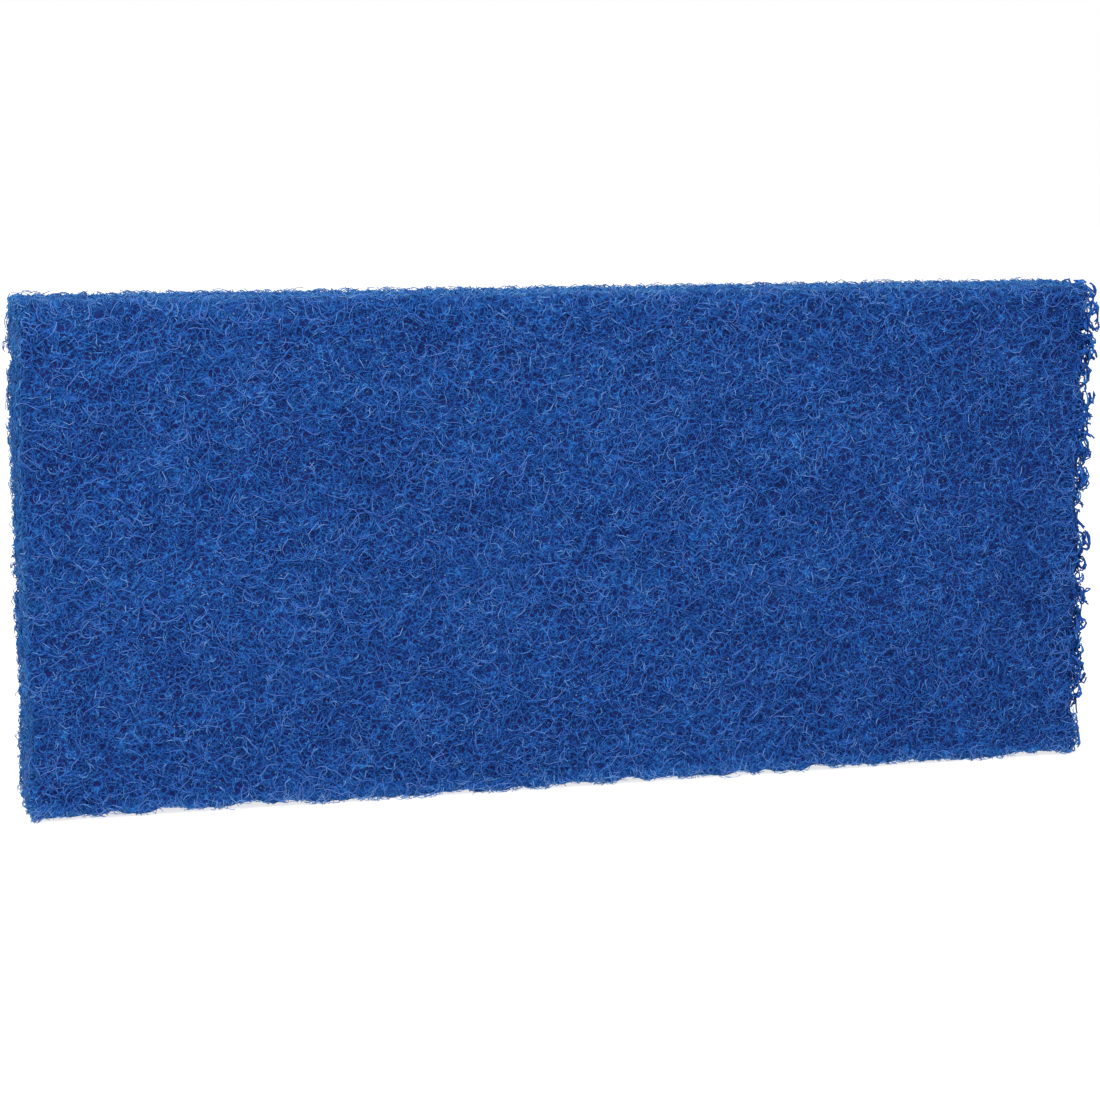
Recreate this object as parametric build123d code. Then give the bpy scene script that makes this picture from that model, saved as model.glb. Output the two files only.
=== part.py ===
from build123d import *
import math
import os

# A scrub pad: one block of lofty non-woven web, stood on one long edge.
# X runs along its length, Y through its thickness and Z up. The origin is at the
# middle of the edge that it stands on. All sizes are in millimetres.

# The block, as the cutting blades leave it
PAD_LENGTH = 254.0
PAD_HEIGHT = 114.3
PAD_THICKNESS = 25.4
CORNER_RADIUS = 3.0

# The open web beyond the dense web at each end
LEFT_WEB_DEPTH = 1.2
RIGHT_WEB_DEPTH = 2.6

# The soft arris where the rough cut turns into each broad face
ARRIS_DEPTH = 2.4
ARRIS_INSET = 1.2

# How far in from its line the cut is torn, along the block and through its thickness
TOP_ROUGHNESS = 0.8
LEFT_END_ROUGHNESS = 1.2
RIGHT_END_ROUGHNESS = 2.0
LAYER_SHARE = 0.35

# How long the facets of the torn cut are, and how many turn each corner and arris
END_FACET = 2.7
TOP_FACET = 4.4
LAYER_FACET = 5.0
CORNER_STEPS = 2
ARRIS_STEPS = 2

# The crimped strands: loops out of the ends, and curls that lie on the broad faces
STRAND_WIDTH = 0.6
STRAND_CRIMP = 0.16
CRIMP_SIDES = 3
LOOP_TURN = 300.0
LOOP_SIDES = 8
LOOP_LIFT = 0.15
LOOP_NARROWING = 0.6
SMALLEST_LOOP = 0.55
LEFT_LOOP_PITCH = 6.0
RIGHT_LOOP_PITCH = 2.5
CURL_TURN = 210.0
CURL_SIDES = 6
CURL_COUNT = 32
CURL_HEIGHT = 0.4
SMALLEST_CURL = 4.0
LARGEST_CURL = 12.0

# The open hollows between the fibres of each broad face
PIT_COUNT = 54
PIT_DEPTH = 1.6
PIT_TAPER = 25.0
SMALLEST_PIT = 2.0
LARGEST_PIT = 4.0

# Its inverse powers give shares that spread evenly, each power apart from the others
SCATTER_ROOT = 1.2207440846


def scatter(number, power):
    """A share from 0 to 1 for each number. It spreads evenly, and at random for square numbers."""
    return (number + 0.5) / SCATTER_ROOT**power % 1


def torn_depth(outward, number, layer):
    """How far inside its line the cut falls, at a numbered point of the rim and a layer."""
    roughness = RIGHT_END_ROUGHNESS if outward.X > 0 else LEFT_END_ROUGHNESS
    at_edge = TOP_ROUGHNESS if outward.Y > 0 else 0
    tear = (1 - LAYER_SHARE) * scatter(number**2, 1) + LAYER_SHARE * scatter(layer**2, 2)
    return tear * (roughness * outward.X**2 + at_edge * outward.Y**2)


def rim():
    """The outline of the dense web once round, as points, each with its outward direction."""
    length = PAD_LENGTH - LEFT_WEB_DEPTH - RIGHT_WEB_DEPTH
    across = length / 2 - CORNER_RADIUS
    up = PAD_HEIGHT / 2 - CORNER_RADIUS
    centres = [Vector(across, -up), Vector(across, up), Vector(-across, up), Vector(-across, -up)]
    facet_lengths = [END_FACET, TOP_FACET, END_FACET, length]
    points = []
    for number, facet_length in enumerate(facet_lengths):
        centre = centres[number]
        run = centres[(number + 1) % 4] - centre
        for step in range(CORNER_STEPS + 1):
            outward = Vector(1, 0).rotate(Axis.Z, 90 * (number - 1 + step / CORNER_STEPS))
            points.append((centre + outward * CORNER_RADIUS, outward))
        facets = round(run.length / facet_length)
        for step in range(1, facets):
            points.append((centre + run * step / facets + outward * CORNER_RADIUS, outward))
    return points


def web_section(layer, offset, inset):
    """The torn outline of the dense web, at an offset from the middle of the thickness."""
    points = []
    for number, (point, outward) in enumerate(rim()):
        points.append(point - outward * (inset + torn_depth(outward, number, layer)))
    middle = (LEFT_WEB_DEPTH - RIGHT_WEB_DEPTH) / 2
    upright = Plane(origin=(middle, offset, PAD_HEIGHT / 2), x_dir=(1, 0, 0), z_dir=(0, -1, 0))
    return upright * Wire.make_polygon(points, close=True)


def section_places():
    """The offset and inset of each section, from one broad face to the other."""
    face = PAD_THICKNESS / 2 - CURL_HEIGHT
    arris = []
    for step in range(ARRIS_STEPS):
        angle = math.pi / 2 * step / ARRIS_STEPS
        depth = ARRIS_DEPTH * (1 - math.cos(angle))
        inset = ARRIS_INSET * (1 - math.sin(angle))
        arris.append((face - depth, inset))
    straight = face - ARRIS_DEPTH
    gaps = round(2 * straight / LAYER_FACET)
    middle = [(-straight + 2 * straight * gap / gaps, 0.0) for gap in range(gaps + 1)]
    front = [(-offset, inset) for offset, inset in arris]
    return front + middle + arris[::-1]


def dense_web():
    """The body of the pad, lofted through its thickness from one torn outline to the next."""
    sections = []
    for layer, (offset, inset) in enumerate(section_places()):
        sections.append(web_section(layer, offset, inset))
    return Solid.make_loft(sections, ruled=True)


def crimped_strand(radius, narrowing, start, turn, sides, thickness):
    """An open loop of crimped strand, flat on the XY plane round its origin."""
    outer, inner = [], []
    for side in range(sides + 1):
        crimp = STRAND_CRIMP * abs(math.sin(math.pi * (side - sides / 2) / CRIMP_SIDES))
        bend = Vector(radius * (1 - crimp), 0).rotate(Axis.Z, start + turn * side / sides)
        bend = Vector(bend.X, narrowing * bend.Y)
        outer.append(bend)
        inner.append(bend * (1 - STRAND_WIDTH / radius))
    strand_edge = Polyline(*outer, *inner[::-1], close=True)
    return extrude(make_face(strand_edge), thickness / 2, both=True)


def end_loops(side, web_depth, roughness, pitch):
    """Strands that loop out of the tears in one end, as far as the blades' line."""
    span = PAD_HEIGHT - 2 * CORNER_RADIUS
    count = round(span / pitch)
    depth = web_depth + roughness
    largest = depth / (1 + LOOP_LIFT)
    loops = []
    for number in range(count):
        radius = largest * (SMALLEST_LOOP + (1 - SMALLEST_LOOP) * scatter(number, 1))
        across = PAD_THICKNESS - 2 * ARRIS_DEPTH - 2 * radius
        offset = across * (scatter(number, 2) - 0.5)
        height = CORNER_RADIUS + span * (number + 0.5) / count
        root = PAD_LENGTH / 2 - depth + LOOP_LIFT * radius
        lean = math.tau * scatter(number, 3)
        place = Plane(
            origin=(side * root, offset, height),
            x_dir=(side, 0, 0),
            z_dir=(0, math.cos(lean), math.sin(lean)),
        )
        start = -LOOP_TURN / 2
        strand = crimped_strand(radius, LOOP_NARROWING, start, LOOP_TURN, LOOP_SIDES, STRAND_WIDTH)
        loops.append(place * strand)
    return loops


def face_curls(side):
    """Curls of strand that lie half sunk in one broad face."""
    length = PAD_LENGTH - 2 * RIGHT_WEB_DEPTH - 2 * LARGEST_CURL
    height = PAD_HEIGHT - 2 * ARRIS_INSET - 2 * LARGEST_CURL
    face = PAD_THICKNESS / 2 - CURL_HEIGHT
    curls = []
    for number in range(CURL_COUNT):
        share = scatter(number, 3)
        radius = SMALLEST_CURL + (LARGEST_CURL - SMALLEST_CURL) * share
        x = side * length * ((number + 0.5) / CURL_COUNT - 0.5)
        z = PAD_HEIGHT / 2 + height * (scatter(number, 1) - 0.5)
        flat = Plane(origin=(x, side * face, z), x_dir=(1, 0, 0), z_dir=(0, side, 0))
        start = 360 * scatter(number, 2)
        thickness = CURL_HEIGHT * (1 + share)
        curls.append(flat * crimped_strand(radius, 1, start, CURL_TURN, CURL_SIDES, thickness))
    return curls


def face_pits(side):
    """The hollows in one broad face, each a tapered slot turned its own way."""
    length = PAD_LENGTH - 2 * RIGHT_WEB_DEPTH - 2 * LARGEST_PIT
    height = PAD_HEIGHT - 2 * ARRIS_INSET - 2 * LARGEST_PIT
    face = PAD_THICKNESS / 2 - CURL_HEIGHT
    pits = []
    for number in range(PIT_COUNT):
        width = SMALLEST_PIT + (LARGEST_PIT - SMALLEST_PIT) * scatter(number, 1)
        x = side * length * ((number + 0.5) / PIT_COUNT - 0.5)
        z = PAD_HEIGHT / 2 + height * (scatter(number**2, 2) - 0.5)
        inward = Plane(origin=(x, side * face, z), x_dir=(1, 0, 0), z_dir=(0, -side, 0))
        mouth = Rectangle(width, SMALLEST_PIT, rotation=180 * scatter(number, 3))
        pits.append(inward * extrude(mouth, PIT_DEPTH, taper=PIT_TAPER))
    return pits


def scrub_pad():
    """The dense web with its pits and curls and the loops of its open ends, as one solid."""
    strands = face_curls(-1) + face_curls(1)
    strands += end_loops(-1, LEFT_WEB_DEPTH, LEFT_END_ROUGHNESS, LEFT_LOOP_PITCH)
    strands += end_loops(1, RIGHT_WEB_DEPTH, RIGHT_END_ROUGHNESS, RIGHT_LOOP_PITCH)
    return dense_web() - face_pits(-1) - face_pits(1) + strands


os.makedirs("parts", exist_ok=True)
export_step(scrub_pad(), "parts/scrub_pad.step")
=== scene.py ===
import math

import bpy
import numpy as np
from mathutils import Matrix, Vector, kdtree, noise


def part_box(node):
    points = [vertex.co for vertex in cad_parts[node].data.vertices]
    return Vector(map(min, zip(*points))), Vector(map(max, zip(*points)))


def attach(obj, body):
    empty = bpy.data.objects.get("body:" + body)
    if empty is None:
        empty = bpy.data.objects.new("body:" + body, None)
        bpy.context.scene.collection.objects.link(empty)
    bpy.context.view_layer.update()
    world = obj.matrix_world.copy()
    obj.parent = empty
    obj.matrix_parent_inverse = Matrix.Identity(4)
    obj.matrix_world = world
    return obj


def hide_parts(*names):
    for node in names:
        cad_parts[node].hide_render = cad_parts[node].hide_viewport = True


# A scrub pad: one block of lofty non-woven web, stood on one long edge on a pale floor.
# X runs along its length towards the more open end, Y through its thickness and Z up.
# Metres throughout, with sizes of the web given in millimetres.

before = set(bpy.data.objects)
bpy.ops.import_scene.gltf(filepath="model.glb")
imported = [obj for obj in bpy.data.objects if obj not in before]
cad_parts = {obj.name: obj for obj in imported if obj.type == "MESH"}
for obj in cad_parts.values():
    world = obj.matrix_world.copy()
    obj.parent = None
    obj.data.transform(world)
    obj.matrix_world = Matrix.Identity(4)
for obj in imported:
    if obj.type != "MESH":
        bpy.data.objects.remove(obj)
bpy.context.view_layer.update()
low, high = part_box("scrub_pad")
MM = 0.001

# How far the core of the web lies inside the pad's box, and how far loose fibres stand proud of it
FACE_INSET = 1.15 * MM
TOP_INSET = 0.8 * MM
BOTTOM_INSET = 0.2 * MM
LEFT_INSET = 0.7 * MM
RIGHT_INSET = 2.9 * MM
PROUD = 0.6 * MM
CORE_ARRIS = 1.2 * MM
CORE_GRAIN = 1.2 * MM

# The lie of the web: broad hollows, small pits, and open holes through the face fibres
HOLLOW_SIZE = 14 * MM
HOLLOW_DEPTH = 0.5 * MM
PIT_SIZE = 2.6 * MM
PIT_DEPTH = 0.9 * MM
HOLE_COUNT = 2200
HOLE_RADII = (0.6 * MM, 1.5 * MM)
HOLE_DEPTH = 0.8 * MM
HOLE_FLARE = 1.5
HOLE_SEED = 81

# The torn cuts: how wide their tears are and how deep they go, how far the core stays off the
# floor, and how far short of the open end the fine fibres stop
END_TEAR_SIZE = 6 * MM
BOTTOM_TEAR_SIZE = 8 * MM
LEFT_TEAR = 1.5 * MM
RIGHT_TEAR = 3.1 * MM
BOTTOM_TEAR = 1.7 * MM
BOTTOM_SEAT = 0.1 * MM
OPEN_WEB = 2.8 * MM

# Each cut is torn by a mean share of its depth, with broad and finer waves round that. The
# spots keep the waves of one cut apart from another's.
MEAN_TEAR = 0.35
BROAD_TEAR = 0.8
FINER_TEAR = 0.7
FINER_TEAR_RATE = 2.7
END_TEAR_SPOT = 5.3
BOTTOM_TEAR_SPOT = 9.1

# The fibres: their widths and crimp, the most that one curls in radians, and how far the middle
# of one stands out of the web
FIBRE_WIDTH = 0.2 * MM
CURL_WIDTH = 0.15 * MM
STRAND_WIDTH = 0.46 * MM
CRIMP_PITCH = 4.5 * MM
FULLEST_CURL = 4.5
BOW_RISES = (0.2 * MM, 0.9 * MM)

# How fibres keep to the torn block: its round corners, and how far past it they may go, as
# shares of PROUD
CORNER_RADIUS = 1.6 * MM
FLAT_SLACK = (-1, 0.8)
TUFT_SLACK = (-1, 1.2)

# A fibre near the middle of a hole moves out from it: from anywhere within RIM_REACH of the
# hole's radii to RIM_PLACE of them, and on by the share of its distance that RIM_PULL leaves.
# Its direction is reckoned from RIM_START at least.
RIM_REACH = 1.3
RIM_PLACE = 1.1
RIM_PULL = 0.8
RIM_START = 0.01 * MM

# The tones of the cut fibres, the share of the front's fibres that the back has, and the seeds
EDGE_TONES = (0.1, 0.8)
BACK_SHARE = 0.55
FACE_SEED = 11
EDGE_SEED = 40
TUFT_SEED = 50

# The tufts of strand in the open web: how many fibres lie together and how far apart, how much
# they lean, and their shape, scales and tones
TUFT_FIBRES = 3
TUFT_SPREAD = 0.3 * MM
TUFT_LEAN = 0.5
TUFT_SHAPE = (0.8, 1.2)
TUFT_SCALES = (0.7, 1.1)
TUFT_TONES = (0.05, 0.6)

# The kinds of fibre: how many straight segments each has, and the range of its length and bend
SHORT = dict(segments=1, lengths=(1.2 * MM, 2.6 * MM), radii=(2 * MM, 4 * MM), crimp=0.0)
CRIMPED = dict(segments=2, lengths=(1.6 * MM, 3.4 * MM), radii=(0.9 * MM, 3.0 * MM), crimp=0.4)
CURLED = dict(segments=6, lengths=(3 * MM, 8 * MM), radii=(1.2 * MM, 6 * MM), crimp=0.3)
LOOPED = dict(segments=6, lengths=(4 * MM, 8 * MM), radii=(1.1 * MM, 2.4 * MM), crimp=0.3)

# The colours' pattern: how far crimp sways the nets of the core, the nets as (cells to a metre,
# line width, weight), the slow clouds as (waves to a metre, weight), the glints, and the grit
CORE_CRIMP_SWAY = 2.5 * MM
CORE_NETS = ((480.0, 0.11, 1.0), (820.0, 0.14, 0.85))
CLOUDS = ((70.0, 0.4), (260.0, 0.4))
GLINT_SIZE = 0.5 * MM
GRIT_SPACING = 1.1 * MM
GRIT_SIZE = 0.24 * MM
GRIT_SHARE = 0.45
GRIT_BLUE = (104, 164, 206)

# How far the painted light reaches in from the top, bottom and left edges, and how far the
# painted shade reaches in from the open end
PAINTED_TOP_LIGHT = 8 * MM
PAINTED_BOTTOM_LIGHT = 5 * MM
PAINTED_LEFT_LIGHT = 3 * MM
PAINTED_END_SHADE = 110 * MM

# The maps: the gap between two sides of the core, and the rim of a fibre's cell
SIDE_GAP = 4 * MM
CELL_RIM = 0.15

# The light and the floor
AMBIENT = 0.62
KEY_PLACE = Vector((-0.5, -0.8, 1.1))
KEY_POWER = 12.6
FILL_PLACE = Vector((-0.1, -1.2, 0.3))
FILL_POWER = 1.0
LIGHT_SIZE = 1.0
FLOOR_SIZE = 8
FLOOR_GREY = 0.6
FLOOR_GLOW = 0.76

# The view: its turn and rise round the pad, how far off it is, and the point that it looks at
# from the pad's middle. The lens and its sensor are in millimetres.
VIEW_TURN = math.radians(-15.89)
VIEW_RISE = math.radians(8.46)
VIEW_DISTANCE = 622 * MM
VIEW_OFFSET = Vector((-5.2 * MM, 0, -3.3 * MM))
LENS = 87.9
SENSOR = 36


# ---------------------------------------------------------------- node helpers

def new_node(tree, kind, **settings):
    """A node with its properties and its input values set by name."""
    node = tree.nodes.new(kind)
    for name, value in settings.items():
        if hasattr(node, name):
            setattr(node, name, value)
        else:
            node.inputs[name.replace("_", " ")].default_value = value
    return node


def math_node(tree, operation, first, second=None):
    """A Math node on sockets or plain numbers, as its output socket."""
    node = tree.nodes.new("ShaderNodeMath")
    node.operation = operation
    for socket, value in zip(node.inputs, (first, second)):
        if isinstance(value, (int, float)):
            socket.default_value = value
        elif value is not None:
            tree.links.new(value, socket)
    return node.outputs[0]


def srgb(red, green, blue):
    """A colour given by its 0 to 255 values, as the linear colour that a node takes."""
    shares = [value / 255 for value in (red, green, blue)]
    return (*[s / 12.92 if s <= 0.04045 else ((s + 0.055) / 1.055) ** 2.4 for s in shares], 1)


def ramp_node(tree, value, stops):
    """A colour ramp with a stop for each (place, colour)."""
    node = tree.nodes.new("ShaderNodeValToRGB")
    elements = node.color_ramp.elements
    while len(elements) < len(stops):
        elements.new(0.5)
    for element, (place, colour) in zip(elements, stops):
        element.position = place
        element.color = colour
    tree.links.new(value, node.inputs[0])
    return node.outputs[0]


# ---------------------------------------------------------------- materials

def tangle_group():
    """A net of crossing fibres round small gaps: out comes near 1 on a fibre and 0 in a gap."""
    group = bpy.data.node_groups.new("fibre tangle", "ShaderNodeTree")
    for name, kind in (("Place", "Vector"), ("Scale", "Float"), ("Width", "Float")):
        group.interface.new_socket(name, in_out="INPUT", socket_type=f"NodeSocket{kind}")
    group.interface.new_socket("Line", in_out="OUTPUT", socket_type="NodeSocketFloat")
    source = group.nodes.new("NodeGroupInput")
    result = group.nodes.new("NodeGroupOutput")
    waves = new_node(group, "ShaderNodeTexNoise", Scale=1 / CRIMP_PITCH, Detail=1.0)
    group.links.new(source.outputs["Place"], waves.inputs["Vector"])
    crimp = new_node(group, "ShaderNodeVectorMath", operation="MULTIPLY_ADD")
    crimp.inputs[1].default_value = (CORE_CRIMP_SWAY,) * 3
    group.links.new(waves.outputs["Color"], crimp.inputs[0])
    group.links.new(source.outputs["Place"], crimp.inputs[2])
    cells = new_node(group, "ShaderNodeTexVoronoi", feature="DISTANCE_TO_EDGE")
    group.links.new(crimp.outputs[0], cells.inputs["Vector"])
    group.links.new(source.outputs["Scale"], cells.inputs["Scale"])
    line = new_node(group, "ShaderNodeMapRange", interpolation_type="SMOOTHSTEP")
    line.inputs["To Min"].default_value = 1.0
    line.inputs["To Max"].default_value = 0.0
    group.links.new(cells.outputs["Distance"], line.inputs["Value"])
    group.links.new(source.outputs["Width"], line.inputs["From Max"])
    glints = new_node(group, "ShaderNodeTexNoise", Scale=1 / GLINT_SIZE, Detail=0.0)
    group.links.new(source.outputs["Place"], glints.inputs["Vector"])
    glint = new_node(group, "ShaderNodeMapRange")
    for name, value in (("From Min", 0.3), ("From Max", 0.7), ("To Min", 0.3), ("To Max", 1.3)):
        glint.inputs[name].default_value = value
    group.links.new(glints.outputs[0], glint.inputs["Value"])
    broken = math_node(group, "MULTIPLY", line.outputs[0], glint.outputs[0])
    group.links.new(broken, result.inputs["Line"])
    return group


def mottle_and_painted_light_group():
    """The slow change of tone over the web: random clouds, painted light along the top, bottom and
    left cuts, and painted shade towards the open end.
    """
    group = bpy.data.node_groups.new("web mottle", "ShaderNodeTree")
    group.interface.new_socket("PaintedLightAndMottle", in_out="OUTPUT", socket_type="NodeSocketFloat")
    result = group.nodes.new("NodeGroupOutput")
    place = group.nodes.new("ShaderNodeTexCoord").outputs["Object"]
    total = 0.0
    for scale, weight in CLOUDS:
        clouds = new_node(group, "ShaderNodeTexNoise", Scale=scale, Detail=1.0)
        group.links.new(place, clouds.inputs["Vector"])
        part = math_node(group, "SUBTRACT", clouds.outputs[0], 0.5)
        total = math_node(group, "ADD", math_node(group, "MULTIPLY", part, weight), total)
    split = group.nodes.new("ShaderNodeSeparateXYZ")
    group.links.new(place, split.inputs[0])
    # Each band of painted light (painted shade where its weight is below 0): the axis across it, the
    # edge that it starts from, its reach and how much it adds
    bands = (
        ("Z", high.z, -PAINTED_TOP_LIGHT, 0.18),
        ("Z", low.z, PAINTED_BOTTOM_LIGHT, 0.55),
        ("X", low.x, PAINTED_LEFT_LIGHT, 0.12),
        ("X", high.x, -PAINTED_END_SHADE, -0.08),
    )
    for axis, edge, inward, weight in bands:
        band = new_node(group, "ShaderNodeMapRange", interpolation_type="SMOOTHSTEP")
        band.inputs["From Min"].default_value = edge + inward
        band.inputs["From Max"].default_value = edge
        group.links.new(split.outputs[axis], band.inputs["Value"])
        total = math_node(group, "ADD", math_node(group, "MULTIPLY", band.outputs[0], weight), total)
    group.links.new(total, result.inputs["PaintedLightAndMottle"])
    return group


def grit_group():
    """Sparse specks of pale abrasive grain: out comes 1 in a speck and 0 elsewhere."""
    group = bpy.data.node_groups.new("grit", "ShaderNodeTree")
    group.interface.new_socket("Grit", in_out="OUTPUT", socket_type="NodeSocketFloat")
    result = group.nodes.new("NodeGroupOutput")
    grains = new_node(group, "ShaderNodeTexVoronoi", Scale=1 / GRIT_SPACING)
    group.links.new(group.nodes.new("ShaderNodeTexCoord").outputs["Object"], grains.inputs["Vector"])
    speck = new_node(group, "ShaderNodeMapRange", interpolation_type="SMOOTHSTEP")
    speck.inputs["From Min"].default_value = GRIT_SIZE / GRIT_SPACING
    speck.inputs["From Max"].default_value = GRIT_SIZE / GRIT_SPACING / 2
    group.links.new(grains.outputs["Distance"], speck.inputs["Value"])
    shares = group.nodes.new("ShaderNodeSeparateColor")
    group.links.new(grains.outputs["Color"], shares.inputs[0])
    chosen = math_node(group, "LESS_THAN", shares.outputs[0], GRIT_SHARE)
    group.links.new(math_node(group, "MULTIPLY", speck.outputs[0], chosen), result.inputs["Grit"])
    return group


def gritted(tree, colour, grit):
    """A colour with the specks of grit over it, as an output socket."""
    specks = tree.nodes.new("ShaderNodeGroup")
    specks.node_tree = grit
    coat = new_node(tree, "ShaderNodeMix", data_type="RGBA")
    tree.links.new(specks.outputs["Grit"], coat.inputs["Factor"])
    tree.links.new(colour, coat.inputs["A"])
    coat.inputs["B"].default_value = srgb(*GRIT_BLUE)
    return coat.outputs["Result"]


def core_material(tangle, painted_light_and_mottle, grit, stops):
    """The packed fibres of the web's core: mid-blue lines over dark navy gaps, the gaps being painted
    shade deep in the web.
    """
    material = bpy.data.materials.new("web core")
    material.use_nodes = True
    tree = material.node_tree
    surface = tree.nodes["Principled BSDF"]
    place = tree.nodes.new("ShaderNodeTexCoord").outputs["Object"]
    lines = 0.0
    for scale, width, weight in CORE_NETS:
        layer = tree.nodes.new("ShaderNodeGroup")
        layer.node_tree = tangle
        layer.inputs["Scale"].default_value = scale
        layer.inputs["Width"].default_value = width
        tree.links.new(place, layer.inputs["Place"])
        weighted = math_node(tree, "MULTIPLY", layer.outputs["Line"], weight)
        lines = math_node(tree, "MAXIMUM", weighted, lines)
    # The slow tone brings random clouds, painted light along the top, bottom and left cuts, and
    # painted shade towards the open end
    slow = tree.nodes.new("ShaderNodeGroup")
    slow.node_tree = painted_light_and_mottle
    tone = math_node(tree, "ADD", lines, slow.outputs["PaintedLightAndMottle"])
    colour = ramp_node(tree, tone, stops)
    tree.links.new(gritted(tree, colour, grit), surface.inputs["Base Color"])
    surface.inputs["Roughness"].default_value = 0.6
    surface.inputs["Specular IOR Level"].default_value = 0.15
    bump = new_node(tree, "ShaderNodeBump", Strength=0.8, Distance=0.4 * MM)
    tree.links.new(lines, bump.inputs["Height"])
    tree.links.new(bump.outputs[0], surface.inputs["Normal"])
    return material


def fibre_material(name, painted_light_and_mottle, grit, stops):
    """Fibres, each with its own tone out of a range of blues."""
    material = bpy.data.materials.new(name)
    material.use_nodes = True
    tree = material.node_tree
    surface = tree.nodes["Principled BSDF"]
    tone = new_node(tree, "ShaderNodeAttribute", attribute_name="tone")
    # The slow tone brings random clouds, painted light along the top, bottom and left cuts, and
    # painted shade towards the open end
    slow = tree.nodes.new("ShaderNodeGroup")
    slow.node_tree = painted_light_and_mottle
    whole = math_node(tree, "ADD", tone.outputs["Fac"], slow.outputs["PaintedLightAndMottle"])
    colour = ramp_node(tree, whole, stops)
    tree.links.new(gritted(tree, colour, grit), surface.inputs["Base Color"])
    surface.inputs["Roughness"].default_value = 0.5
    surface.inputs["Specular IOR Level"].default_value = 0.18
    return material


# ---------------------------------------------------------------- the core of the web

def core_map(mesh):
    """The core's own map: each side of the block laid flat, none over another."""
    size = high - low
    column = size.x + SIDE_GAP
    row = size.z + SIDE_GAP
    side_places = {
        (1, -1): (0, 2, 0, 0),
        (1, 1): (0, 2, 0, row),
        (2, 1): (0, 1, 0, 2 * row),
        (2, -1): (0, 1, 0, 2 * row + size.y + SIDE_GAP),
        (0, -1): (1, 2, column, 0),
        (0, 1): (1, 2, column, row),
    }
    sheet = size.x + size.y + 3 * SIDE_GAP
    layer = mesh.uv_layers.new(name="OFBake")
    for face in mesh.polygons:
        axis = max(range(3), key=lambda number: abs(face.normal[number]))
        across, up, left, bottom = side_places[axis, 1 if face.normal[axis] > 0 else -1]
        for loop in face.loop_indices:
            point = mesh.vertices[mesh.loops[loop].vertex_index].co
            layer.data[loop].uv = (
                (point[across] - low[across] + left + SIDE_GAP) / sheet,
                (point[up] - low[up] + bottom + SIDE_GAP) / sheet,
            )


def tear_shares(spots):
    """How much of the full tear each spot has, from 0 to 1."""
    tears = []
    for spot in spots:
        broad = BROAD_TEAR * noise.noise(spot)
        finer = FINER_TEAR * noise.noise(FINER_TEAR_RATE * spot)
        tears.append(MEAN_TEAR + broad + finer)
    return np.clip(tears, 0, 1)


def end_tears(side, places):
    """The tear shares of one end at these places, twice as long through the thickness."""
    spots = []
    for _, y, z in places:
        spots.append(Vector((END_TEAR_SPOT * side, y / END_TEAR_SIZE / 2, z / END_TEAR_SIZE)))
    return tear_shares(spots)


def bottom_tears(places):
    """The tear shares of the bottom edge at these places, drawn out through the thickness."""
    spots = []
    for x, y, _ in places:
        spots.append(Vector((x / BOTTOM_TEAR_SIZE, y / BOTTOM_TEAR_SIZE / 3, BOTTOM_TEAR_SPOT)))
    return tear_shares(spots)


def open_holes(side):
    """The open holes in one broad face's fibres: a tree of their places, and their radii."""
    rng = np.random.default_rng(side + HOLE_SEED)
    face = high.y if side > 0 else low.y
    tree = kdtree.KDTree(HOLE_COUNT)
    for number in range(HOLE_COUNT):
        tree.insert((rng.uniform(low.x, high.x), face, rng.uniform(low.z, high.z)), number)
    tree.balance()
    return tree, rng.uniform(*HOLE_RADII, HOLE_COUNT)


def roughen(mesh, holes):
    """Moves each point of the core in or out: broad hollows, small pits, holes and torn edges."""
    places = [vertex.co.copy() for vertex in mesh.vertices]
    outwards = [vertex.normal.copy() for vertex in mesh.vertices]
    left = end_tears(-1, places)
    right = end_tears(1, places)
    bottom = bottom_tears(places)
    for number, (place, outward) in enumerate(zip(places, outwards)):
        hollow = HOLLOW_DEPTH * noise.noise(place / HOLLOW_SIZE)
        pit = PIT_DEPTH * noise.noise(place / PIT_SIZE)
        torn = RIGHT_TEAR * right[number] if outward.x > 0 else LEFT_TEAR * left[number]
        tree, radii = holes[1 if outward.y > 0 else -1]
        face = high.y if outward.y > 0 else low.y
        _, hole, away = tree.find((place.x, face, place.z))
        sunk = HOLE_DEPTH * max(0, 1 - away / radii[hole] / HOLE_FLARE) * outward.y**2
        moved = place + outward * (hollow + pit - sunk - torn * outward.x**2)
        moved.z = max(moved.z, low.z + BOTTOM_TEAR * bottom[number] + BOTTOM_SEAT)
        mesh.vertices[number].co = moved


def build_core(material, holes):
    """The dense inside of the pad, which stands for its CAD solid."""
    inner_low = low + Vector((LEFT_INSET, FACE_INSET, BOTTOM_INSET))
    inner_high = high - Vector((RIGHT_INSET, FACE_INSET, TOP_INSET))
    bpy.ops.object.select_all(action="DESELECT")
    bpy.ops.mesh.primitive_cube_add(size=1, location=(inner_low + inner_high) / 2)
    core = bpy.context.object
    core.name = "web_core"
    core.scale = inner_high - inner_low
    bpy.ops.object.transform_apply(location=True, rotation=True, scale=True)
    arris = core.modifiers.new("arris", "BEVEL")
    arris.width = CORE_ARRIS
    arris.segments = 3
    bpy.ops.object.modifier_apply(modifier=arris.name)
    grain = core.modifiers.new("grain", "REMESH")
    grain.mode = "VOXEL"
    grain.voxel_size = CORE_GRAIN
    bpy.ops.object.modifier_apply(modifier=grain.name)
    core_map(core.data)
    roughen(core.data, holes)
    bpy.ops.object.shade_smooth()
    core.data.materials.append(material)
    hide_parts("scrub_pad")
    return core


# ---------------------------------------------------------------- the fibres

def unit(vectors):
    """The vectors, each at a length of 1."""
    return vectors / np.linalg.norm(vectors, axis=-1, keepdims=True)


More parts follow.
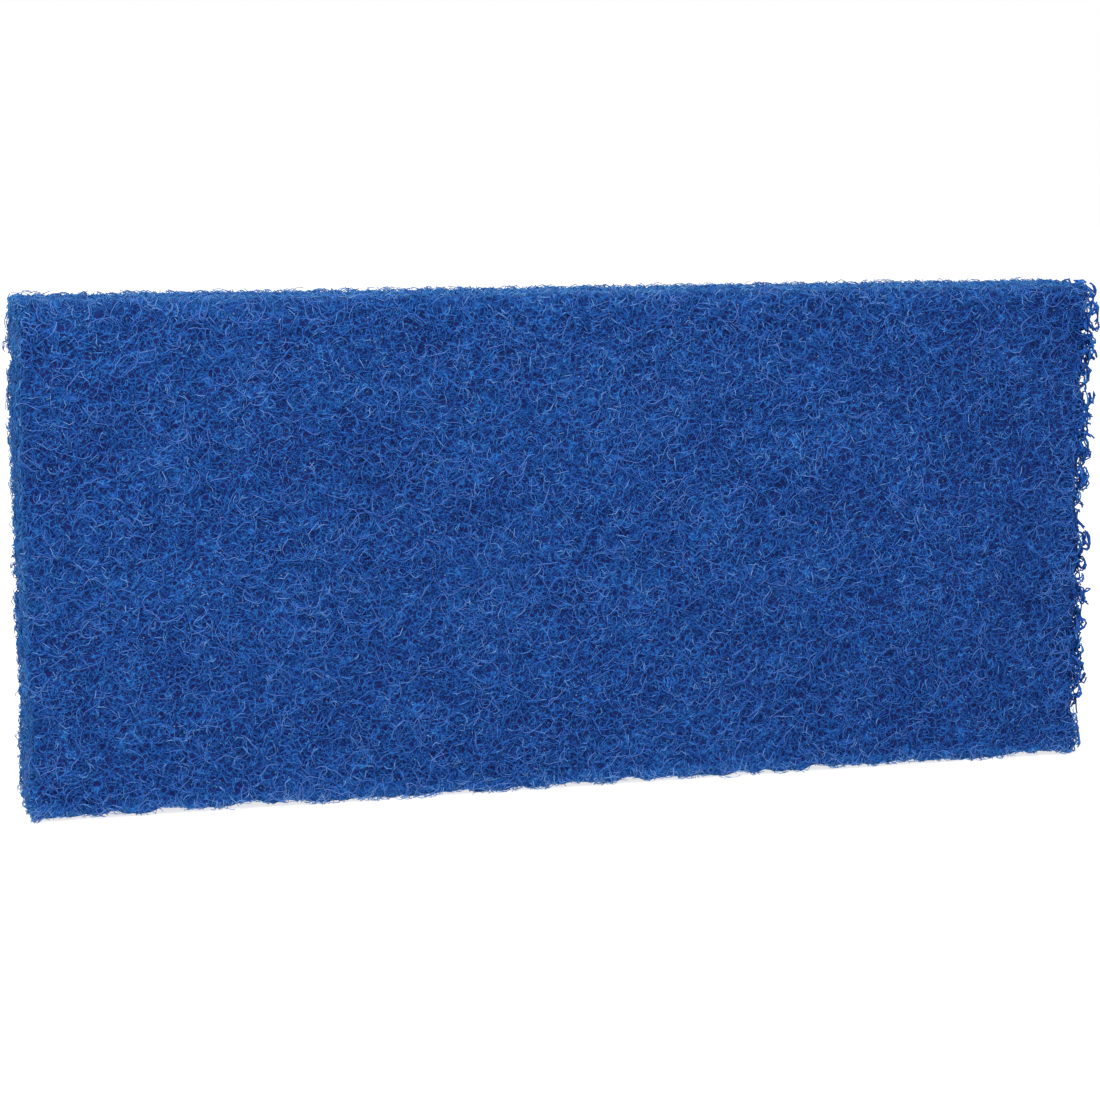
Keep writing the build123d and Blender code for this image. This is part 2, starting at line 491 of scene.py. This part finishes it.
def curls(rng, count, segments, lengths, radii, crimp):
    """Flat curls round 0, as count by points by two."""
    length = rng.uniform(*lengths, count)[:, None]
    radius = rng.uniform(*radii, count)[:, None]
    length = np.minimum(length, FULLEST_CURL * radius)
    bend = rng.choice((-1, 1), (count, 1)) / radius
    start = rng.uniform(0, math.tau, (count, 1))
    phase = rng.uniform(0, math.tau, (count, 1))
    along = length * ((np.arange(segments) + 0.5) / segments - 0.5)
    heading = start + bend * along + crimp * np.sin(math.tau * along / CRIMP_PITCH + phase)
    steps = np.stack([np.cos(heading), np.sin(heading)], axis=-1)
    path = np.cumsum(steps * length[..., None] / segments, axis=1)
    path = np.concatenate([np.zeros((count, 1, 2)), path], axis=1)
    return path - path.mean(axis=1, keepdims=True)


def turned_by(paths, angles):
    """Flat paths, each turned by its own angle."""
    cos = np.cos(angles)[:, None]
    sin = np.sin(angles)[:, None]
    across = paths[..., 0]
    up = paths[..., 1]
    return np.stack([across * cos - up * sin, across * sin + up * cos], axis=-1)


def round_holes(path, centres, holes, face):
    """Curls that fall in a hole, moved to its rim and turned to bend round it."""
    tree, radii = holes
    centres = centres.copy()
    # The direction across each curl, on the side that it bulges to
    chord = path[:, -1] - path[:, 0]
    across = np.stack([-chord[:, 1], chord[:, 0]], axis=-1)
    bulge = path[:, path.shape[1] // 2] - (path[:, 0] + path[:, -1]) / 2
    across *= np.where((across * bulge).sum(axis=-1) < 0, -1, 1)[:, None]
    turns = np.zeros(len(path))
    for number, (x, z) in enumerate(centres):
        place, hole, away = tree.find((x, face, z))
        if away < RIM_REACH * radii[hole]:
            outward = np.array([x - place.x, z - place.z]) / max(away, RIM_START)
            turns[number] = np.arctan2(*outward[::-1]) - np.arctan2(*across[number, ::-1])
            centres[number] += outward * (RIM_PLACE * radii[hole] - RIM_PULL * away)
    return turned_by(path, turns), centres


def bow(rng, count, points, rises):
    """How far each point of a curl stands out at its middle and sinks in at its ends."""
    share = np.linspace(-1, 1, points)
    return rng.uniform(*rises, (count, 1)) * (1 - share**2)


def tube_mesh(name, paths, normals, tones, width):
    """One closed three-sided tube along each path, with a tone and a map cell of its own."""
    count, points = paths.shape[:2]
    along = unit(np.gradient(paths, axis=1))
    side = unit(np.cross(along, normals[:, None]))
    up = np.cross(side, along)
    angles = math.tau * np.arange(3) / 3
    turned = side[:, :, None] * np.cos(angles)[:, None] + up[:, :, None] * np.sin(angles)[:, None]
    corners = paths[:, :, None] + turned * width / 2
    ring = np.arange(points - 1)[:, None] * 3
    sector = np.arange(3)
    following = (sector + 1) % 3
    walls = np.stack([ring + sector, ring + 3 + sector, ring + 3 + following, ring + following], -1)
    walls = walls.reshape(-1, 4)
    last = (points - 1) * 3
    caps = np.array([[0, 1, 2], [last + 2, last + 1, last]])
    first = (np.arange(count) * points * 3)[:, None, None]
    faces = (walls + first).reshape(-1, 4).tolist() + (caps + first).reshape(-1, 3).tolist()
    mesh = bpy.data.meshes.new(name)
    mesh.from_pydata(corners.reshape(-1, 3).tolist(), [], faces)
    tone = mesh.attributes.new("tone", "FLOAT", "POINT")
    tone.data.foreach_set("value", np.repeat(tones, points * 3).astype(np.float32))
    mesh.polygons.foreach_set("use_smooth", np.ones(len(mesh.polygons), bool))
    fibre_map(mesh, count, points)
    return mesh


def fibre_map(mesh, count, points):
    """Each fibre's own cell of the map, with its walls laid out along and across it."""
    cells = math.ceil(math.sqrt(count))
    run, turn = np.meshgrid(np.arange(points - 1), np.arange(3), indexing="ij")
    along = np.stack([run, run + 1, run + 1, run], -1).reshape(-1) / (points - 1)
    across = np.stack([turn, turn, turn + 1, turn + 1], -1).reshape(-1) / 3
    cap_along = np.repeat([0.0, 1.0], 3)
    cap_across = np.tile([0.2, 0.5, 0.8], 2)
    number = np.arange(count)[:, None]
    corner = np.stack([number % cells, number // cells], -1)
    room = 1 - 2 * CELL_RIM
    inside = CELL_RIM + room * np.stack([along, across], -1)
    inside_caps = CELL_RIM + room * np.stack([cap_along, cap_across], -1)
    walls = (corner + inside).reshape(-1, 2)
    caps = (corner + inside_caps).reshape(-1, 2)
    layer = mesh.uv_layers.new(name="OFBake")
    layer.uv.foreach_set("vector", (np.concatenate([walls, caps]) / cells).astype(np.float32).ravel())


def pushed_into_block(paths, slack, width):
    """Each path moved by the least that brings it inside the pad's torn box and round corners."""
    room_low = np.repeat([[low.x, low.y, low.z]], len(paths), axis=0)
    room_high = np.repeat([[high.x, high.y, high.z]], len(paths), axis=0)
    places = paths.mean(axis=1)
    room_low[:, 0] += LEFT_TEAR * end_tears(-1, places)
    room_high[:, 0] -= RIGHT_TEAR * end_tears(1, places)
    if width < STRAND_WIDTH:
        room_high[:, 0] -= OPEN_WEB
    room_low[:, :2] -= slack
    room_high += slack
    room_low[:, 2] = low.z + width / 2 + BOTTOM_TEAR * bottom_tears(places)
    # Inside the box
    short = np.maximum(room_low - paths.min(axis=1), 0)
    over = np.maximum(paths.max(axis=1) - room_high, 0)
    paths = paths + (short - over)[:, None]
    # Inside the round corners, by what the point that is furthest past one needs
    middle = (room_low + room_high)[:, None] / 2
    reach = (room_high - room_low)[:, None] / 2
    away = paths - middle
    past = np.maximum(np.abs(away) - (reach - CORNER_RADIUS), 0)[..., [0, 2]]
    corner = (past > 0).all(axis=-1, keepdims=True)
    distance = np.linalg.norm(past, axis=-1, keepdims=True)
    excess = np.where(corner, np.maximum(distance - CORNER_RADIUS, 0), 0)
    back = -np.sign(away[..., [0, 2]]) * past / np.maximum(distance, MM) * excess
    worst = np.take_along_axis(back, excess.argmax(axis=1)[:, None], axis=1)
    paths[..., [0, 2]] += worst
    return paths


def add_fibres(name, paths, slack, normals, tones, material, width):
    """These fibres as one piece, each inside the torn block but for its own slack."""
    mesh = tube_mesh(name, pushed_into_block(paths, slack, width), normals, tones, width)
    piece = bpy.data.objects.new(name, mesh)
    bpy.context.scene.collection.objects.link(piece)
    mesh.materials.append(material)
    return piece


def flat_fibres(name, seed, axes, outward, count, depths, tone, kind, material, width, holes=None):
    """Fibres that lie along one side of the block, each at its own depth and sinking at its ends."""
    rng = np.random.default_rng(seed)
    across, up = axes
    out = 3 - across - up
    path = curls(rng, count, **kind)
    depth = rng.uniform(*depths, (count, 1))
    rise = bow(rng, count, path.shape[1], BOW_RISES)
    points = np.empty((*path.shape[:2], 3))
    centres = np.stack([rng.uniform(low[axis], high[axis], count) for axis in axes], axis=-1)
    face = high[out] if outward > 0 else low[out]
    if holes:
        path, centres = round_holes(path, centres, holes, face)
    points[..., list(axes)] = centres[:, None] + path
    points[..., out] = face - outward * (depth + rise.max(axis=1, keepdims=True) - rise)
    slack = PROUD * rng.uniform(*FLAT_SLACK, (count, 1))
    normals = np.zeros((count, 3))
    normals[:, out] = outward
    tones = rng.uniform(*tone, count)
    return add_fibres(name, points, slack, normals, tones, material, width)


def end_tufts(name, seed, outward, tufts, reach, width, material):
    """Tufts of looped strand in the open web at one end."""
    rng = np.random.default_rng(seed)
    places = rng.uniform(np.array(low), np.array(high), (tufts, 3))
    distance = reach * rng.uniform(0, 1, tufts)
    places[:, 0] = (high.x if outward > 0 else low.x) - outward * distance
    count = tufts * TUFT_FIBRES
    first = unit(rng.normal(size=(tufts, 3)) * TUFT_LEAN + (1, 0, 0))
    second = unit(np.cross(first, rng.normal(size=(tufts, 3)) * TUFT_LEAN + (0, 1, 0)))
    path = np.repeat(curls(rng, tufts, **LOOPED), TUFT_FIBRES, axis=0)
    path = path * rng.uniform(*TUFT_SCALES, (count, 1, 1)) * TUFT_SHAPE
    path += rng.normal(0, TUFT_SPREAD, path.shape) / 2
    first = np.repeat(first, TUFT_FIBRES, axis=0)
    second = np.repeat(second, TUFT_FIBRES, axis=0)
    places = np.repeat(places, TUFT_FIBRES, axis=0)
    places = places + rng.normal(0, TUFT_SPREAD, (count, 3))
    points = places[:, None] + path[..., :1] * first[:, None] + path[..., 1:] * second[:, None]
    slack = np.repeat(PROUD * rng.uniform(*TUFT_SLACK, (tufts, 1)), TUFT_FIBRES, axis=0)
    tones = rng.uniform(*TUFT_TONES, count)
    return add_fibres(name, points, slack, np.cross(first, second), tones, material, width)


def build_fibres(plain, violet, cut, holes):
    """Every piece of loose fibre round the core."""
    pieces = []
    # Each layer of a broad face: its name, count, depths, tones, kind, material and width
    layers = (
        # The web layer lies deepest and keeps to darker tones: painted shade for its depth
        ("web", 9500, (0.4 * MM, 1.2 * MM), (0.0, 0.7), SHORT, plain, FIBRE_WIDTH),
        ("crimps", 8300, (-0.2 * MM, 0.7 * MM), (0.1, 1.0), CRIMPED, plain, FIBRE_WIDTH),
        ("curls", 4700, (-0.3 * MM, 0.5 * MM), (0.1, 1.0), CURLED, violet, CURL_WIDTH),
    )
    for side, name, share in ((-1, "front", 1.0), (1, "back", BACK_SHARE)):
        for layer, (part, count, *make_up) in enumerate(layers):
            seed = 10 * layer + side + FACE_SEED
            fibres = round(count * share)
            piece = flat_fibres(f"{name}_{part}", seed, (0, 2), side, fibres, *make_up, holes[side])
            pieces.append(piece)
    # Each cut: its name, the axes along it, the way it faces, its count, depths, kind and width
    edges = (
        ("top_edge_web", (0, 1), 1, 4500, (-0.4 * MM, 0.6 * MM), CRIMPED, FIBRE_WIDTH),
        ("bottom_edge_web", (0, 1), -1, 3500, (0.1 * MM, 0.6 * MM), CRIMPED, FIBRE_WIDTH),
        ("right_end_web", (1, 2), 1, 650, (0.8 * MM, 3.6 * MM), LOOPED, STRAND_WIDTH),
        ("left_end_web", (1, 2), -1, 2200, (-0.4 * MM, 0.8 * MM), CRIMPED, FIBRE_WIDTH),
    )
    for number, (name, axes, side, count, depths, kind, width) in enumerate(edges):
        seed = EDGE_SEED + number
        piece = flat_fibres(name, seed, axes, side, count, depths, EDGE_TONES, kind, cut, width)
        pieces.append(piece)
    right = end_tufts("right_end_tufts", TUFT_SEED, 1, 620, 4.5 * MM, STRAND_WIDTH, plain)
    left = end_tufts("left_end_tufts", TUFT_SEED + 1, -1, 300, 1.5 * MM, FIBRE_WIDTH, cut)
    return [*pieces, right, left]


# ---------------------------------------------------------------- the studio

def seen_or_lighting(tree, seen, lighting):
    """A shader that shows one thing to the view and its reflections, and lights as another."""
    path = tree.nodes.new("ShaderNodeLightPath")
    looked_at = math_node(
        tree,
        "MAXIMUM",
        path.outputs["Is Camera Ray"],
        math_node(tree, "MAXIMUM", path.outputs["Is Glossy Ray"], path.outputs["Is Transmission Ray"]),
    )
    mix = tree.nodes.new("ShaderNodeMixShader")
    tree.links.new(looked_at, mix.inputs[0])
    tree.links.new(lighting, mix.inputs[1])
    tree.links.new(seen, mix.inputs[2])
    return mix.outputs[0]


def build_backdrop():
    """White all round, and soft even light from it."""
    world = bpy.data.worlds.new("studio")
    bpy.context.scene.world = world
    world.use_nodes = True
    tree = world.node_tree
    tree.nodes.clear()
    seen = new_node(tree, "ShaderNodeBackground", Color=(1, 1, 1, 1), Strength=1.0)
    lighting = new_node(tree, "ShaderNodeBackground", Color=(1, 1, 1, 1), Strength=AMBIENT)
    output = tree.nodes.new("ShaderNodeOutputWorld")
    tree.links.new(seen_or_lighting(tree, seen.outputs[0], lighting.outputs[0]), output.inputs[0])


def build_floor():
    """A pale floor that looks white and still takes the pad's shadow."""
    bpy.ops.object.select_all(action="DESELECT")
    bpy.ops.mesh.primitive_plane_add(size=FLOOR_SIZE)
    floor = bpy.context.object
    floor.name = "floor"
    material = bpy.data.materials.new("pale floor")
    material.use_nodes = True
    tree = material.node_tree
    tree.nodes.clear()
    glow = new_node(tree, "ShaderNodeEmission", Color=(1, 1, 1, 1), Strength=FLOOR_GLOW)
    paint = new_node(tree, "ShaderNodeBsdfDiffuse", Color=(FLOOR_GREY, FLOOR_GREY, FLOOR_GREY, 1))
    veil = new_node(tree, "ShaderNodeAddShader")
    tree.links.new(glow.outputs[0], veil.inputs[0])
    tree.links.new(paint.outputs[0], veil.inputs[1])
    output = tree.nodes.new("ShaderNodeOutputMaterial")
    tree.links.new(seen_or_lighting(tree, veil.outputs[0], paint.outputs[0]), output.inputs[0])
    floor.data.materials.append(material)


def add_light(name, place, power, target):
    """A square soft light, turned to the target."""
    data = bpy.data.lights.new(name, "AREA")
    data.size = LIGHT_SIZE
    data.energy = power
    lamp = bpy.data.objects.new(name, data)
    bpy.context.scene.collection.objects.link(lamp)
    lamp.location = place
    lamp.rotation_euler = (target - lamp.location).to_track_quat("-Z", "Y").to_euler()


def add_camera(middle):
    """The view: a little from above and from the left, the whole pad across the frame."""
    target = middle + VIEW_OFFSET
    level = math.cos(VIEW_RISE)
    back = Vector((math.sin(VIEW_TURN) * level, -math.cos(VIEW_TURN) * level, math.sin(VIEW_RISE)))
    data = bpy.data.cameras.new("camera")
    data.sensor_width = SENSOR
    data.lens = LENS
    camera = bpy.data.objects.new("camera", data)
    bpy.context.scene.collection.objects.link(camera)
    camera.location = target + back * VIEW_DISTANCE
    camera.rotation_euler = (-back).to_track_quat("-Z", "Y").to_euler()
    bpy.context.scene.camera = camera


# ---------------------------------------------------------------- the scene

bpy.context.scene.view_settings.view_transform = "Standard"
pad_middle = (low + high) / 2
add_camera(pad_middle)
build_backdrop()
build_floor()
add_light("key light", KEY_PLACE, KEY_POWER, pad_middle)
add_light("fill light", FILL_PLACE, FILL_POWER, pad_middle)

# The core's darkest stop is painted shade in the gaps between its fibres
core_blues_with_gap_shade = [(0.0, srgb(19, 34, 100)), (0.45, srgb(30, 85, 176)), (1.0, srgb(54, 134, 219))]
plain_blues = [
    (0.0, srgb(28, 71, 161)),
    (0.35, srgb(32, 102, 196)),
    (0.7, srgb(57, 134, 223)),
    (1.0, srgb(122, 171, 236)),
]
violet_blues = [(0.0, srgb(34, 89, 190)), (0.5, srgb(61, 118, 214)), (1.0, srgb(108, 149, 232))]
cut_blues = [
    (0.0, srgb(27, 72, 152)),
    (0.35, srgb(30, 102, 184)),
    (0.7, srgb(52, 133, 209)),
    (1.0, srgb(104, 166, 224)),
]
# Random clouds of tone, with painted light along three cuts and painted shade towards the open end
web_mottle_and_painted_light = mottle_and_painted_light_group()
web_grit = grit_group()
web_holes = {side: open_holes(side) for side in (-1, 1)}
core_piece = build_core(
    core_material(tangle_group(), web_mottle_and_painted_light, web_grit, core_blues_with_gap_shade),
    web_holes,
)
fibre_pieces = build_fibres(
    fibre_material("web fibre", web_mottle_and_painted_light, web_grit, plain_blues),
    fibre_material("web curl", web_mottle_and_painted_light, web_grit, violet_blues),
    fibre_material("cut web fibre", web_mottle_and_painted_light, web_grit, cut_blues),
    web_holes,
)
for piece in [core_piece, *fibre_pieces]:
    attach(piece, "root")
